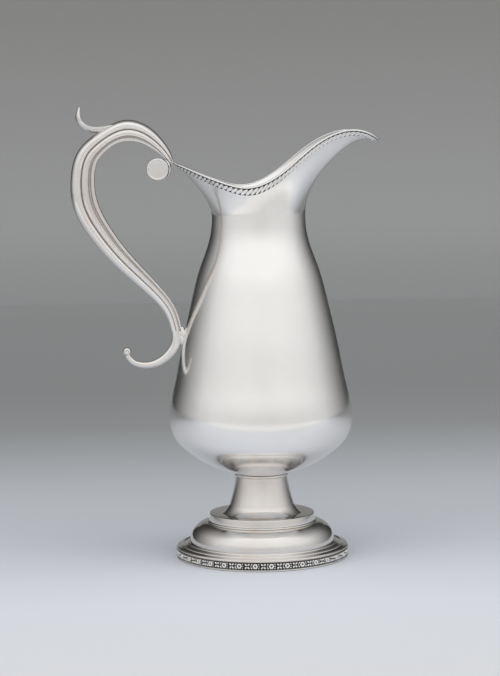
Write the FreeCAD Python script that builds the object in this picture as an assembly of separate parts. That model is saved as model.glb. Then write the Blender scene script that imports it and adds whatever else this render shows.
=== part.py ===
import FreeCAD, Part

"""Silver water pitcher: pear body with a helmet mouth, stepped round foot and ribbed scroll handle.

Frame: millimetres, +Z up, origin at the middle of the foot's underside, +X towards the pouring lip,
so the handle is at -X and the object is symmetric about the plane y = 0.
"""
import math
import os

from FreeCAD import Vector

# Driving dimensions, in millimetres.
WALL = 1.0                  # sheet thickness of the body
FOOT_SHEET = 1.4            # sheet thickness of the foot and stem
FOOT_RADIUS = 61.5          # outside of the flower band
BODY_RADIUS = 65.2          # widest part of the belly
BELLY_HEIGHT = 99.0         # height of the widest part
NECK_RADIUS = 33.2          # narrowest part of the neck
NECK_HEIGHT = 243.0         # height of the narrowest part
STEM_RADIUS = 18.3          # top of the stem, where the body sits
BODY_BOTTOM = 59.3          # height of the body's underside on the stem
BOTTOM_TILT = math.radians(19.0)    # slope at which the underside leaves the stem
LIP_REACH = 85.0            # distance of the pouring lip's tip from the axis
RIM_WIRE_RADIUS = 0.7
RIM_WIRE_CORNERS = 8        # curves along the wire that carry its round section
RIM_BAND_WIDTH = 4.6
RIM_BAND_THICKNESS = 0.7
BAND_SEARCH_STEP = 0.002    # share of the wall curve tried at a time when the band's foot is placed
HANDLE_SHEET = 1.1          # sheet thickness of the hollow handle
VOLUTE_RADIUS = 7.7         # round scroll end beside the rim
VOLUTE_CENTRE = (-70.7, 276.2)
VOLUTE_HALF_LENGTH = 6.2
VOLUTE_BEAD_WIDTH = 1.9
VOLUTE_BEAD_HEIGHT = 1.6
CURL_RADIUS = 3.0           # ball at the end of the handle's tail
BEAD_SEAT = 3.5             # width of the flat part behind a ring's half-round edge
DOME_LEDGE = 5.0            # width of the dome's flat top under the step
RING_POINTS = 48            # points round each ring of the body's net

# Heights of the foot's steps, from the ground up.
BASE_WIRE_TOP = 1.0
BAND_TOP = 6.3
FLANGE_EDGE = 8.0
DOME_BOTTOM = 10.4
FILLET_BOTTOM = 24.6
STEP_BOTTOM = 25.8
STEP_TOP = 31.0
STEM_TOP = 57.3

DOME_RADIUS = 51.5
DOME_TOP_RADIUS = 38.9
STEP_RADIUS = 38.0
STEM_FOOT_RADIUS = 28.5
BAND_SHEET = 1.6            # thickness of the flower band

# Points of the foot's curved outlines, as (radius, height).
DOME_SHOULDER = (47.7, 20.7)
STEM_SCOOP = (24.6, 34.1)
STEM_WAIST = (22.7, 38.0)
STEM_NARROW = (19.7, 49.4)

# Half outline of the body from the stem to the neck, as (radius, height).
BODY_OUTLINE = [
    (STEM_RADIUS, BODY_BOTTOM),
    (34.4, 64.8),
    (51.1, 75.0),
    (61.3, 85.3),
    (BODY_RADIUS, BELLY_HEIGHT),
    (61.4, 123.5),
    (55.0, 154.5),
    (47.5, 187.0),
    (42.9, 204.2),
    (37.7, 218.3),
    (34.3, 230.2),
    (NECK_RADIUS, NECK_HEIGHT),
]

# Guides of the helmet mouth from the lip's tip round the near side to the tongue at the handle:
# angle round the neck in degrees, then the rim's x, half width and height, the direction in which
# the metal leaves the rim (degrees above level), and how strongly it starts up and arrives.
MOUTH_GUIDES = [
    (0.0, LIP_REACH, 0.0, 294.6, -12.0, 76.0, 84.0),
    (13.0, 79.2, 11.0, 298.0, 4.0, 78.0, 66.0),
    (30.0, 64.0, 17.8, 301.1, 30.0, 74.0, 44.0),
    (50.0, 41.0, 25.2, 292.7, 44.0, 56.0, 28.0),
    (72.0, 17.0, 33.0, 273.8, 58.0, 36.0, 19.0),
    (96.0, -6.0, 36.6, 262.7, 64.0, 22.0, 14.0),
    (120.0, -25.0, 31.8, 265.5, 54.0, 24.0, 18.0),
    (144.0, -41.5, 21.0, 271.9, 42.0, 28.0, 25.0),
    (164.0, -53.5, 10.4, 277.3, 36.0, 32.0, 32.0),
    (180.0, -59.4, 0.0, 279.9, 35.0, 34.0, 34.0),
]

# Middle line of the handle from the rim to the body: x, height, width seen from the side and half
# depth across.
HANDLE_STATIONS = [
    (-60.6, 281.6, 4.2, 5.4),
    (-64.2, 287.0, 6.6, 5.8),
    (-70.8, 293.9, 9.8, 6.2),
    (-81.0, 301.0, 13.4, 6.7),
    (-92.2, 303.3, 15.2, 7.0),
    (-104.0, 299.2, 13.6, 7.0),
    (-112.0, 293.6, 14.3, 7.0),
    (-118.8, 286.4, 15.6, 7.1),
    (-123.1, 270.0, 17.0, 7.4),
    (-121.0, 250.3, 17.8, 7.5),
    (-112.6, 234.0, 16.3, 7.0),
    (-101.0, 218.4, 14.3, 6.2),
    (-86.5, 203.0, 12.0, 5.3),
    (-72.3, 188.6, 9.8, 4.4),
    (-62.8, 175.3, 8.4, 3.8),
    (-58.9, 162.0, 7.6, 3.5),
]

# Middle line of the tail below the body joint, ending in the small ball: x, height, radius.
TAIL_STATIONS = [
    (-58.9, 162.0, 3.6),
    (-59.5, 153.5, 3.5),
    (-64.0, 146.0, 3.1),
    (-72.5, 139.8, 2.6),
    (-83.0, 138.0, 2.2),
    (-90.6, 140.8, 1.9),
    (-94.2, 145.2, 1.8),
]
TAIL_BALL = (-94.2, 147.9)
TAIL_SECTIONS = 17          # sections along the tail's loft
TAIL_FLATTENING = 0.9       # the tail's depth across as a share of its height

# Section of the handle, as shares of its width from the outer edge and of its half depth.
OUTER_RIB_CROWN = (0.13, 0.86)
RIB_CREASE = (0.44, 0.78)
INNER_RIB_CROWN = (0.63, 0.90)
STRIP_STEP = (0.84, 0.60)
HOLLOW_DEPTH = 0.74
STRIP_HALF_DEPTH = 0.44
STRIP_EDGE = 0.97
SOLDER_GAP = 0.45           # kept between the halves and the strip
HANDLE_SECTIONS = 33        # sections along the handle's loft

# Bracket between the drum, the handle's upper end and the rim, as (x, height), and the oval pad
# between the body and the handle's lower end.
BRACKET_OUTLINE = [
    (-66.0, 283.0),
    (-60.4, 282.2),
    (-58.6, 279.0),
    (-57.4, 274.6),
    (-60.6, 269.6),
    (-65.0, 269.6),
]
BRACKET_HALF_WIDTH = 4.6
PAD_SEMI_AXES = (3.4, 4.2, 11.0)
PAD_CENTRE = (-55.2, 0, 158.0)

# Middle line of the thumb leaf: x, height, thickness and half width.
LEAF_STATIONS = [
    (-93.0, 308.4, 4.0, 3.6),
    (-100.5, 306.4, 4.2, 4.2),
    (-108.0, 305.0, 4.4, 4.8),
    (-115.5, 304.8, 4.6, 5.2),
    (-121.9, 307.2, 4.6, 5.4),
    (-125.5, 313.4, 3.8, 4.2),
    (-124.6, 320.2, 1.2, 1.4),
]
LEAF_SECTIONS = 13          # sections along the leaf's loft
LEAF_EDGE = 0.2             # depth of the leaf's edges, as a share of its thickness
LEAF_HOLLOW = 0.45          # depth of its hollowed upper side


def save(name, shape):
    """Write one solid, or a group of identical solids, as the node of that name."""
    shape.exportStep("parts/%s.step" % name)


def profile_point(radius, height):
    return Vector(radius, 0, height)


def turned(outline):
    """Solid of revolution about Z. The outline is a closed list of (radius, height) corners, where
    a corner with a third item, the (radius, height) of a point on the way, is reached by an arc."""
    edges = []
    start = profile_point(*outline[-1][:2])
    for corner in outline:
        end = profile_point(*corner[:2])
        if len(corner) == 3:
            edges.append(Part.Arc(start, profile_point(*corner[2]), end).toShape())
        else:
            edges.append(Part.LineSegment(start, end).toShape())
        start = end
    face = Part.Face(Part.Wire(edges))
    return face.revolve(Vector(0, 0, 0), Vector(0, 0, 1), 360)


def spline_through(points, parameters=None, closed=False):
    """Cubic curve through the points."""
    curve = Part.BSplineCurve()
    if parameters is None:
        curve.interpolate(Points=points, PeriodicFlag=closed)
    else:
        curve.interpolate(Points=points, PeriodicFlag=closed, Parameters=parameters)
    return curve


def body_outline_curve(points):
    """Cubic curve up the side of the body, which leaves the stem nearly level and ends upright."""
    curve = Part.BSplineCurve()
    curve.interpolate(
        Points=points,
        InitialTangent=Vector(math.cos(BOTTOM_TILT), 0, math.sin(BOTTOM_TILT)),
        FinalTangent=Vector(0, 0, 1),
    )
    return curve


RING_PARAMETERS = [index / RING_POINTS for index in range(RING_POINTS + 1)]
RING_MULTIPLICITIES = [2] + [1] * (RING_POINTS - 1) + [2]
RING_ANGLES = [2 * math.pi * index / RING_POINTS for index in range(RING_POINTS)]


def ring_poles(points):
    """Poles of the closed cubic curve that passes through one ring of points."""
    return spline_through(points, RING_PARAMETERS, closed=True).getPoles()


def net_face(rings, knots, multiplicities, degree):
    """Face whose poles are the given rings, smooth round the ring and of the degree across it."""
    surface = Part.BSplineSurface()
    surface.buildFromPolesMultsKnots(
        [ring_poles(ring) for ring in rings],
        multiplicities,
        RING_MULTIPLICITIES,
        knots,
        RING_PARAMETERS,
        False,
        True,
        degree,
        3,
    )
    return surface.toShape()


def straight_face(ring_a, ring_b):
    return net_face([ring_a, ring_b], [0, 1], [2, 2], 1)


def swept_face(rings):
    """Bezier face across four rings."""
    return net_face(rings, [0, 1], [4, 4], 3)


def sewn_solid(faces):
    shell = Part.makeShell(faces)
    shell.sewShape(0.001)
    solid = Part.makeSolid(shell)
    if solid.Volume < 0:
        solid.reverse()
    return solid


def ring_solid(rings):
    """Closed ring whose cross-section has straight sides between the given rings of points."""
    pairs = zip(rings, rings[1:] + rings[:1])
    return sewn_solid([straight_face(ring_a, ring_b) for ring_a, ring_b in pairs])


def circle_ring(radius, height):
    return [Vector(radius * math.cos(a), radius * math.sin(a), height) for a in RING_ANGLES]


# ---------------------------------------------------------------------------------------- body

def guide_curve(columns):
    """Closed curve over the angle round the neck, through three columns of the mouth guides. The
    second column changes sign on the far side when it is the rim's half width."""
    near = []
    for guide in MOUTH_GUIDES:
        near.append((math.radians(guide[0]), Vector(*[guide[column] for column in columns])))
    mirrored = columns[1] == 2
    points = [value for angle, value in near]
    angles = [angle for angle, value in near]
    for angle, value in reversed(near[1:-1]):
        points.append(Vector(value.x, -value.y if mirrored else value.y, value.z))
        angles.append(2 * math.pi - angle)
    angles.append(2 * math.pi)
    return spline_through(points, angles, closed=True)


def mouth_rings():
    """Four rings of Bezier points from the neck to the rim on the outside of the metal."""
    rim_curve = guide_curve((1, 2, 3))
    shape_curve = guide_curve((4, 5, 6))
    neck = circle_ring(NECK_RADIUS, NECK_HEIGHT)
    rim = [rim_curve.value(angle) for angle in RING_ANGLES]
    above_neck = []
    under_rim = []
    for angle, start, end in zip(RING_ANGLES, neck, rim):
        slope, rise, reach = shape_curve.value(angle)
        along = rim_curve.tangent(angle)[0]
        outward = along.cross(Vector(0, 0, 1))
        outward.normalize()
        tilt = math.radians(slope)
        arrive = outward * math.cos(tilt) + Vector(0, 0, math.sin(tilt))
        above_neck.append(start + Vector(0, 0, rise / 3))
        under_rim.append(end - arrive * (reach / 3))
    return [neck, above_neck, under_rim, rim]


def rim_directions(rings):
    """For each point of the rim: the direction out of the metal's edge and the outer face's normal."""
    under_rim, rim = rings[2], rings[3]
    directions = []
    for index in range(RING_POINTS):
        along = rim[(index + 1) % RING_POINTS] - rim[index - 1]
        edge = rim[index] - under_rim[index]
        normal = along.cross(edge)
        normal.normalize()
        edge.normalize()
        directions.append((edge, normal))
    return directions


def bezier_point(rings, index, t):
    """Point on the mouth's outside at the fraction t of the way from the neck to the rim."""
    weights = [(1 - t) ** 3, 3 * t * (1 - t) ** 2, 3 * t * t * (1 - t), t ** 3]
    total = Vector(0, 0, 0)
    for weight, ring in zip(weights, rings):
        total = total + ring[index] * weight
    return total


def offset_outline(distance):
    """The body's half outline moved towards the inside by the distance."""
    outer = body_outline_curve([profile_point(*corner) for corner in BODY_OUTLINE])
    moved = []
    for corner in BODY_OUTLINE:
        point = profile_point(*corner)
        along = outer.tangent(outer.parameter(point))[0]
        inward = Vector(-along.z, 0, along.x)
        moved.append(point + inward * distance)
    return moved


def turned_face(points):
    """Face of revolution through the outline, built on the same rings as the mouth."""
    curve = body_outline_curve(points)
    rings = [circle_ring(pole.x, pole.z) for pole in curve.getPoles()]
    return net_face(rings, curve.getKnots(), curve.getMultiplicities(), 3)


def disc_face(radius, height):
    """Flat round face that closes a turned face at its bottom."""
    edge = spline_through(circle_ring(radius, height), RING_PARAMETERS, closed=True).toShape()
    return Part.Face(Part.Wire([edge]))


def make_body_shell(outer_rings):
    """Hollow body, open at the mouth: outer and inner skins joined by the rim and closed below."""
    normals = [normal for edge, normal in rim_directions(outer_rings)]
    bore = NECK_RADIUS - WALL
    inner_rings = [
        circle_ring(bore, NECK_HEIGHT),
        [Vector(p.x * bore / NECK_RADIUS, p.y * bore / NECK_RADIUS, p.z) for p in outer_rings[1]],
        [point - normal * WALL for point, normal in zip(outer_rings[2], normals)],
        [point - normal * WALL for point, normal in zip(outer_rings[3], normals)],
    ]
    outline = [profile_point(*corner) for corner in BODY_OUTLINE]
    inner_outline = offset_outline(WALL)
    return sewn_solid([
        disc_face(outline[0].x, outline[0].z),
        turned_face(outline),
        swept_face(outer_rings),
        straight_face(outer_rings[3], inner_rings[3]),
        swept_face(inner_rings),
        turned_face(inner_outline),
        disc_face(inner_outline[0].x, inner_outline[0].z),
    ])


def make_rim_wire(rings):
    """Round wire along the rim, seated on the edge of the metal."""
    wire_rings = []
    directions = rim_directions(rings)
    for corner in range(RIM_WIRE_CORNERS):
        turn = 2 * math.pi * corner / RIM_WIRE_CORNERS
        ring = []
        for point, (edge, normal) in zip(rings[3], directions):
            centre = point + edge * RIM_WIRE_RADIUS - normal * (WALL / 2)
            around = edge * math.cos(turn) + normal * math.sin(turn)
            ring.append(centre + around * RIM_WIRE_RADIUS)
        wire_rings.append(ring)
    return ring_solid(wire_rings)


def make_rim_band(rings):
    """Narrow strip laid on the outside of the metal just below the rim."""
    upper = []
    lower = []
    for index, (edge, normal) in enumerate(rim_directions(rings)):
        point = rings[3][index]
        t = 1.0
        while (bezier_point(rings, index, t) - point).Length < RIM_BAND_WIDTH:
            t -= BAND_SEARCH_STEP
        upper.append(point)
        lower.append(bezier_point(rings, index, t))
    normals = [normal for edge, normal in rim_directions(rings)]
    raised_lower = [p + n * RIM_BAND_THICKNESS for p, n in zip(lower, normals)]
    raised_upper = [p + n * RIM_BAND_THICKNESS for p, n in zip(upper, normals)]
    return ring_solid([upper, lower, raised_lower, raised_upper])


def ring_bead(radius, bulge, bottom, top):
    """Flat ring with a half-round outer edge that stands out by the bulge."""
    inside = radius - BEAD_SEAT
    return turned([
        (inside, bottom),
        (radius, bottom),
        (radius, top, (radius + bulge, (bottom + top) / 2)),
        (inside, top),
    ])


def make_body_collar():
    """Half-round ring soldered between the body and the stem."""
    return ring_bead(STEM_RADIUS - 0.1, 0.9, STEM_TOP, BODY_BOTTOM)


# ---------------------------------------------------------------------------------------- foot

def thinned(corner, across, down):
    """Corner on the inside of the sheet, moved in towards the axis and down."""
    return (corner[0] - across, corner[1] - down)


def make_foot_stem():
    """Hollow trumpet that flares down to the step."""
    top = (STEM_RADIUS, STEM_TOP)
    foot = (STEM_FOOT_RADIUS, STEP_TOP)
    inner_narrow = thinned(STEM_NARROW, FOOT_SHEET, FOOT_SHEET / 4)
    return turned([
        thinned(foot, 2 * FOOT_SHEET, 0),
        foot,
        (*STEM_WAIST, STEM_SCOOP),
        (*top, STEM_NARROW),
        thinned(top, FOOT_SHEET, 0),
        (*thinned(STEM_WAIST, FOOT_SHEET, FOOT_SHEET / 2), inner_narrow),
    ])


def make_foot_step():
    """Drum with a flat top that carries the stem."""
    hole = STEM_RADIUS + 2.0
    taper = 0.7
    edge = 0.5
    return turned([
        (STEP_RADIUS - FOOT_SHEET, STEP_BOTTOM),
        (STEP_RADIUS, STEP_BOTTOM),
        (STEP_RADIUS - taper, STEP_TOP - edge),
        (STEP_RADIUS - taper - edge, STEP_TOP, (STEP_RADIUS - taper - 0.3 * edge, STEP_TOP - 0.3 * edge)),
        (hole, STEP_TOP),
        (hole, STEP_TOP - FOOT_SHEET),
        (STEP_RADIUS - taper - FOOT_SHEET, STEP_TOP - FOOT_SHEET),
    ])


def make_foot_fillet():
    """Half-round ring in the corner between the dome and the step."""
    return ring_bead(STEP_RADIUS + 0.4, 0.6, FILLET_BOTTOM, STEP_BOTTOM)


def make_foot_dome():
    """Quarter-round hollow dome between the flange and the step."""
    ledge = DOME_TOP_RADIUS - DOME_LEDGE
    return turned([
        (DOME_RADIUS - FOOT_SHEET, DOME_BOTTOM, thinned(DOME_SHOULDER, 1.0, 1.0)),
        (DOME_RADIUS, DOME_BOTTOM),
        (DOME_TOP_RADIUS, FILLET_BOTTOM, DOME_SHOULDER),
        (ledge, FILLET_BOTTOM),
        (ledge, FILLET_BOTTOM - FOOT_SHEET),
        (DOME_TOP_RADIUS, FILLET_BOTTOM - FOOT_SHEET),
    ])


def make_foot_flange():
    """Sloping flange outside the dome, with a bead at its edge and two fine turned fillets."""
    edge = FOOT_RADIUS - 1.0
    outer_fillet = (FOOT_RADIUS - 4.8, FLANGE_EDGE + 1.3)
    inner_fillet = (DOME_RADIUS + 1.3, DOME_BOTTOM + 0.2)
    return turned([
        (DOME_RADIUS - 3.0, DOME_BOTTOM - FOOT_SHEET),
        (DOME_RADIUS + 1.0, DOME_BOTTOM - FOOT_SHEET),
        (edge - 3.0, BAND_TOP),
        (edge, BAND_TOP),
        (edge - 0.3, FLANGE_EDGE, (edge + 0.5, (BAND_TOP + FLANGE_EDGE) / 2)),
        (outer_fillet[0] + 0.6, FLANGE_EDGE + 0.6),
        (outer_fillet[0] - 0.6, FLANGE_EDGE + 0.9, outer_fillet),
        (inner_fillet[0] + 0.5, DOME_BOTTOM - 0.5),
        (inner_fillet[0] - 0.9, DOME_BOTTOM, inner_fillet),
        (DOME_RADIUS - 3.0, DOME_BOTTOM),
    ])


def make_foot_band():
    """Upright ring that carries the die-rolled flowers."""
    inside = FOOT_RADIUS - BAND_SHEET
    return turned([
        (inside, BASE_WIRE_TOP),
        (FOOT_RADIUS, BASE_WIRE_TOP),
        (FOOT_RADIUS, BAND_TOP),
        (inside, BAND_TOP),
    ])


def make_foot_base_wire():
    """Plain wire on which the pitcher stands."""
    return ring_bead(FOOT_RADIUS - 0.5, 0.4, 0, BASE_WIRE_TOP)


# -------------------------------------------------------------------------------------- handle

class Strap:
    """A bar that follows a middle line in the plane y = 0 and changes size along it."""

    def __init__(self, stations):
        points = [Vector(station[0], 0, station[1]) for station in stations]
        lengths = [0.0]
        for before, after in zip(points, points[1:]):
            lengths.append(lengths[-1] + (after - before).Length)
        self.length = lengths[-1]
        self.middle = spline_through(points, lengths)
        sizes = [Vector(*station[2:], *[0] * (5 - len(station))) for station in stations]
        self.size = spline_through(sizes, lengths)

    def frame(self, fraction):
        """Middle, direction towards the outer edge, width and half depth at the fraction."""
        parameter = self.length * fraction
        along = self.middle.tangent(parameter)[0]
        outward = Vector(0, 1, 0).cross(along)
        size = self.size.value(parameter)
        return self.middle.value(parameter), outward, size.x, size.y

    def point(self, fraction, inset, across):
        """Point at a distance from the outer edge towards the inner one, and across along Y."""
        middle, outward, width = self.frame(fraction)[:3]
        return middle + outward * (width / 2 - inset) + Vector(0, across, 0)


def edge_line(start, end):
    return Part.LineSegment(start, end).toShape()


def edge_arc(start, middle, end):
    return Part.Arc(start, middle, end).toShape()


def rib_edges(strap, fraction, side):
    """The two round ribs on one side of the handle, from the outer spine to the inner strip."""
    width, depth = strap.frame(fraction)[2:]

    def at(shares):
        return strap.point(fraction, width * shares[0], side * depth * shares[1])

    return [
        edge_arc(at((0, 0)), at(OUTER_RIB_CROWN), at(RIB_CREASE)),
        edge_arc(at(RIB_CREASE), at(INNER_RIB_CROWN), at(STRIP_STEP)),
        edge_line(at(STRIP_STEP), at((STRIP_STEP[0], 0))),
    ]


def section_fractions(count):
    return [index / (count - 1) for index in range(count)]


def make_handle_half(strap, side):
    """One hollow half of the handle, with both ribs outside and a plain channel inside."""
    wires = []
    for fraction in section_fractions(HANDLE_SECTIONS):
        width, depth = strap.frame(fraction)[2:]
        strip_start = width * STRIP_STEP[0]
        inner_land = strap.point(fraction, strip_start - HANDLE_SHEET, 0)
        outer_land = strap.point(fraction, HANDLE_SHEET, 0)
        hollow = side * (depth * HOLLOW_DEPTH - HANDLE_SHEET)
        hollow_side = strap.point(fraction, strip_start / 2, hollow)
        ribs = rib_edges(strap, fraction, side)
        wires.append(Part.Wire(ribs + [
            edge_line(strap.point(fraction, strip_start, 0), inner_land),
            edge_arc(inner_land, hollow_side, outer_land),
            edge_line(outer_land, strap.point(fraction, 0, 0)),
        ]))
    return Part.makeLoft(wires, True)


def make_handle_envelope(strap):
    """Solid outer shape of the two halves, used to seat the pieces soldered to them."""
    halves = []
    for side in (-1, 1):
        wires = []
        for fraction in section_fractions(HANDLE_SECTIONS):
            width = strap.frame(fraction)[2]
            strip_start = strap.point(fraction, width * STRIP_STEP[0], 0)
            closing = edge_line(strip_start, strap.point(fraction, 0, 0))
            wires.append(Part.Wire(rib_edges(strap, fraction, side) + [closing]))
        halves.append(Part.makeLoft(wires, True))
    return halves


def make_handle_inner_strip(strap):
    """Plain strip that closes the inside of the handle."""
    wires = []
    for fraction in section_fractions(HANDLE_SECTIONS):
        width, depth = strap.frame(fraction)[2:]
        half = depth * STRIP_HALF_DEPTH
        start = width * STRIP_STEP[0] + SOLDER_GAP
        edge = width * STRIP_EDGE
        corners = [
            strap.point(fraction, start, -half),
            strap.point(fraction, edge, -half),
            strap.point(fraction, edge, half),
            strap.point(fraction, start, half),
        ]
        crown = strap.point(fraction, width, 0)
        wires.append(Part.Wire([
            edge_line(corners[0], corners[1]),
            edge_arc(corners[1], crown, corners[2]),
            edge_line(corners[2], corners[3]),
            edge_line(corners[3], corners[0]),
        ]))
    return Part.makeLoft(wires, True)


def make_thumb_leaf():
    """Curled leaf that rises from the top of the handle, hollowed along its upper side."""
    strap = Strap(LEAF_STATIONS)
    wires = []
    for fraction in section_fractions(LEAF_SECTIONS):
        thickness, half = strap.frame(fraction)[2:]
        near = strap.point(fraction, thickness * LEAF_EDGE, -half)
        far = strap.point(fraction, thickness * LEAF_EDGE, half)
        wires.append(Part.Wire([
            edge_arc(near, strap.point(fraction, thickness, 0), far),
            edge_arc(far, strap.point(fraction, thickness * LEAF_HOLLOW, 0), near),
        ]))
    return Part.makeLoft(wires, True)


def make_tail():
    """Solid tail that leaves the handle at the body and curls back under it."""
    strap = Strap(TAIL_STATIONS)
    wires = []
    for fraction in section_fractions(TAIL_SECTIONS):
        middle, outward, radius = strap.frame(fraction)[:3]
        across = Vector(0, radius * TAIL_FLATTENING, 0)
        outer = middle + outward * radius
        inner = middle - outward * radius
        near = middle - across
        far = middle + across
        wires.append(Part.Wire([edge_arc(outer, near, inner), edge_arc(inner, far, outer)]))
    return Part.makeLoft(wires, True)


def y_cylinder(centre, radius, start, length):
    return Part.makeCylinder(radius, length, Vector(centre[0], start, centre[1]), Vector(0, 1, 0))


def make_volute_drum():
    """Hollow drum across the end of the handle."""
    length = 2 * VOLUTE_HALF_LENGTH
    outside = y_cylinder(VOLUTE_CENTRE, VOLUTE_RADIUS, -VOLUTE_HALF_LENGTH, length)
    inside = y_cylinder(VOLUTE_CENTRE, VOLUTE_RADIUS - HANDLE_SHEET, -VOLUTE_HALF_LENGTH, length)
    return outside.cut(inside)


def make_volute_cap(side):
    """Flat disc with a raised round edge that closes one end of the drum."""
    inside = VOLUTE_RADIUS - VOLUTE_BEAD_WIDTH
    face = 0.3
    bead_foot = 0.5
    bead_crown = (VOLUTE_RADIUS - VOLUTE_BEAD_WIDTH / 2, VOLUTE_BEAD_HEIGHT)
    cap = turned([
        (0, 0),
        (VOLUTE_RADIUS, 0),
        (VOLUTE_RADIUS, bead_foot),
        (inside, bead_foot, bead_crown),
        (inside, face),
        (0, face),
    ])
    cap.rotate(Vector(0, 0, 0), Vector(1, 0, 0), -90 * side)
    cap.translate(Vector(VOLUTE_CENTRE[0], side * VOLUTE_HALF_LENGTH, VOLUTE_CENTRE[1]))
    return cap


def make_upper_joint():
    """Bracket that fills the corner between the drum, the end of the handle and the rim's tongue."""
    points = [Vector(x, -BRACKET_HALF_WIDTH, z) for x, z in BRACKET_OUTLINE]
    face = Part.Face(Part.makePolygon(points + points[:1]))
    return face.extrude(Vector(0, 2 * BRACKET_HALF_WIDTH, 0))


def make_lower_joint():
    """Oval pad soldered between the body and the handle's lower end."""
    pad = Part.makeSphere(1.0)
    matrix = FreeCAD.Matrix()
    matrix.scale(*PAD_SEMI_AXES)
    pad = pad.transformGeometry(matrix)
    pad.translate(Vector(*PAD_CENTRE))
    return pad


def largest_solid(shape):
    return max(shape.Solids, key=lambda solid: solid.Volume)


def build():
    os.makedirs("parts", exist_ok=True)
    rings = mouth_rings()
    body = make_body_shell(rings)
    rim_wire = make_rim_wire(rings)
    rim_band = make_rim_band(rings)
    save("body_shell", body)
    save("rim_wire", rim_wire)
    save("rim_band", rim_band)
    save("body_collar", make_body_collar())
    save("foot_stem", make_foot_stem())
    save("foot_step", make_foot_step())
    save("foot_fillet", make_foot_fillet())
    save("foot_dome", make_foot_dome())
    save("foot_flange", make_foot_flange())
    save("foot_band", make_foot_band())
    save("foot_base_wire", make_foot_base_wire())

    strap = Strap(HANDLE_STATIONS)
    drum = make_volute_drum()
    ball = Part.makeSphere(CURL_RADIUS, Vector(TAIL_BALL[0], 0, TAIL_BALL[1]))
    near_half = make_handle_half(strap, -1)
    far_half = make_handle_half(strap, 1)
    strip = make_handle_inner_strip(strap)
    envelope = make_handle_envelope(strap)
    leaf = make_thumb_leaf()
    upper_joint = make_upper_joint().cut(
        y_cylinder(VOLUTE_CENTRE, VOLUTE_RADIUS, -VOLUTE_HALF_LENGTH, 2 * VOLUTE_HALF_LENGTH)
    )
    lower_joint = make_lower_joint().cut(strip)
    for piece in envelope:
        leaf = leaf.cut(piece)
        upper_joint = upper_joint.cut(piece)
        lower_joint = lower_joint.cut(piece)
    for piece in (body, rim_wire, rim_band):
        upper_joint = upper_joint.cut(piece)
    tail = make_tail()
    lower_joint = lower_joint.cut(body).cut(tail)
    save("handle_near_half", near_half)
    save("handle_far_half", far_half)
    save("handle_inner_strip", strip)
    save("handle_thumb_leaf", largest_solid(leaf))
    save("handle_volute", drum)
    save("volute_cap_near", make_volute_cap(-1))
    save("volute_cap_far", make_volute_cap(1))
    save("handle_upper_joint", largest_solid(upper_joint))
    save("handle_lower_joint", largest_solid(lower_joint))
    save("handle_tail", tail.cut(ball))
    save("tail_ball", ball)


build()
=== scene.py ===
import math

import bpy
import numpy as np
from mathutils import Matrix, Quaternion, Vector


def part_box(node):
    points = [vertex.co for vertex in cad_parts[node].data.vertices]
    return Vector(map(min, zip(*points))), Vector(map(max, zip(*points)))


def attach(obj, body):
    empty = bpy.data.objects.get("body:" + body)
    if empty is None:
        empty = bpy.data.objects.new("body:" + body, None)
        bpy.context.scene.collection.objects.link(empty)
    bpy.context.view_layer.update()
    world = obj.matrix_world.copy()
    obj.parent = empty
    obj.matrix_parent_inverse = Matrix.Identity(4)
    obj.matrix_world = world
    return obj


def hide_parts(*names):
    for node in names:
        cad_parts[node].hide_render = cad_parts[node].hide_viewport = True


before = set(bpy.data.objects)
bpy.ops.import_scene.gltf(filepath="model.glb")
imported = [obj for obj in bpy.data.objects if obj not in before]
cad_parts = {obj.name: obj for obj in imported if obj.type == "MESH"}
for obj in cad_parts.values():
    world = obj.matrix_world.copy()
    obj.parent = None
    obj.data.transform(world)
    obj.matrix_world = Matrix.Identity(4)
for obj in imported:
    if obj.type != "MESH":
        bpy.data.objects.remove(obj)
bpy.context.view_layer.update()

# Looks of the silver water pitcher: every CAD node is replaced by a denser, softly worn silver piece.
# Tables and formulas are in millimetres, in the CAD frame, and are scaled by MM as each mesh is made.
# The stage, the lights and the camera are in metres.
# Heights of the foot's steps and the pieces' outer sizes are read from the frame.

MM = 0.001


# ------------------------------------------------------------------------------ sizes from the frame

def low(node):
    """Lowest corner of a CAD node, in millimetres."""
    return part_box(node)[0] / MM


def high(node):
    """Highest corner of a CAD node, in millimetres."""
    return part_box(node)[1] / MM


def middle_of(node):
    """Middle of a CAD node's box, in millimetres."""
    return (low(node) + high(node)) / 2


FOOT_RADIUS = high("foot_band").x
BODY_BOTTOM = low("body_shell").z
STEM_TOP = high("foot_stem").z
STEP_TOP = high("foot_step").z
STEP_BOTTOM = low("foot_step").z
STEP_RADIUS = high("foot_step").x
FILLET_BOTTOM = low("foot_fillet").z
BAND_TOP = high("foot_band").z
BASE_WIRE_TOP = low("foot_band").z
VOLUTE_HALF_LENGTH = high("handle_volute").y
VOLUTE_RADIUS = (high("handle_volute").x - low("handle_volute").x) / 2
VOLUTE_X, _, VOLUTE_Z = middle_of("handle_volute")
CAP_TOP = high("volute_cap_far").y
CURL_RADIUS = high("tail_ball").y
CURL_X, _, CURL_Z = middle_of("tail_ball")
PAD_X, _, PAD_Z = middle_of("handle_lower_joint")

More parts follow.
